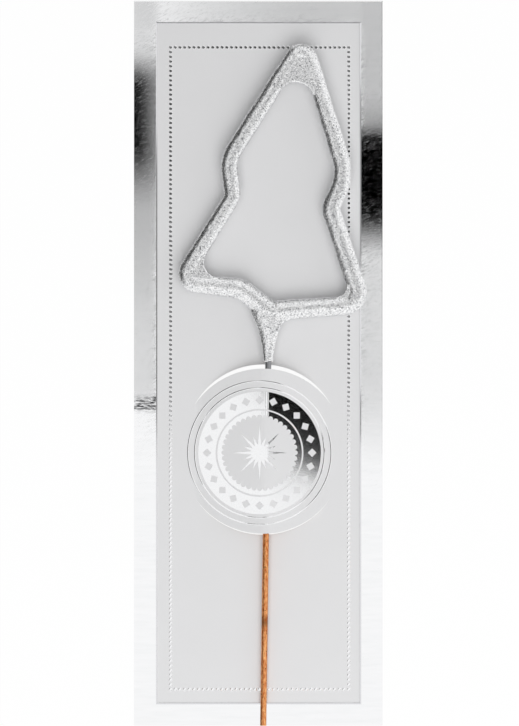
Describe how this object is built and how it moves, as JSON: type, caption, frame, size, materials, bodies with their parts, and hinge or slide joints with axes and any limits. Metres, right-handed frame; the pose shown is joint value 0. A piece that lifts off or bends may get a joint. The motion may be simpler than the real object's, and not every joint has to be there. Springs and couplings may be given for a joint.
{
  "type": "carded sparkler",
  "caption": "Sparkler whose coated wire is bent into a fir-tree outline, threaded under the arched bridge of a slim mirror-bordered carrier card and drawn out to be used.",
  "frame": {"origin": "centre of the card's back face, on the surface that the card lies on", "axes": "+Y up the card towards the tip of the tree, +X to the right seen from the front, +Z out of the card's front"},
  "size_m": [0.06, 0.175, 0.0063],
  "materials": {
    "board": "solid bleached board, uncoated back",
    "mirror_film": "metallised mirror film",
    "matte_panel": "matte pale grey varnish with an embossed bead border",
    "seal_foil": "hot-stamped bright foil",
    "copper_wire": "copper-washed drawn steel, stained grey next to the coat",
    "inner_coat": "dry granular sparkler compound",
    "outer_coat": "dry granular sparkler compound with bright metal flakes"
  },
  "bodies": {
    "card": {"card_board": "board", "mirror_film": "mirror_film", "matte_panel": "matte_panel", "seal_rings": "seal_foil", "seal_band": "seal_foil", "seal_collar": "seal_foil", "seal_burst": "seal_foil"},
    "sparkler": {"core_wire": "copper_wire", "first_dip_coat": "inner_coat", "second_dip_coat": "outer_coat"}
  },
  "joints": [
    {"name": "sparkler_draw", "type": "slide", "parent": "card", "child": "sparkler", "axis": [0.0138, 0.9998, 0.0175], "range_m": [-0.0012, 0.09]}
  ]
}
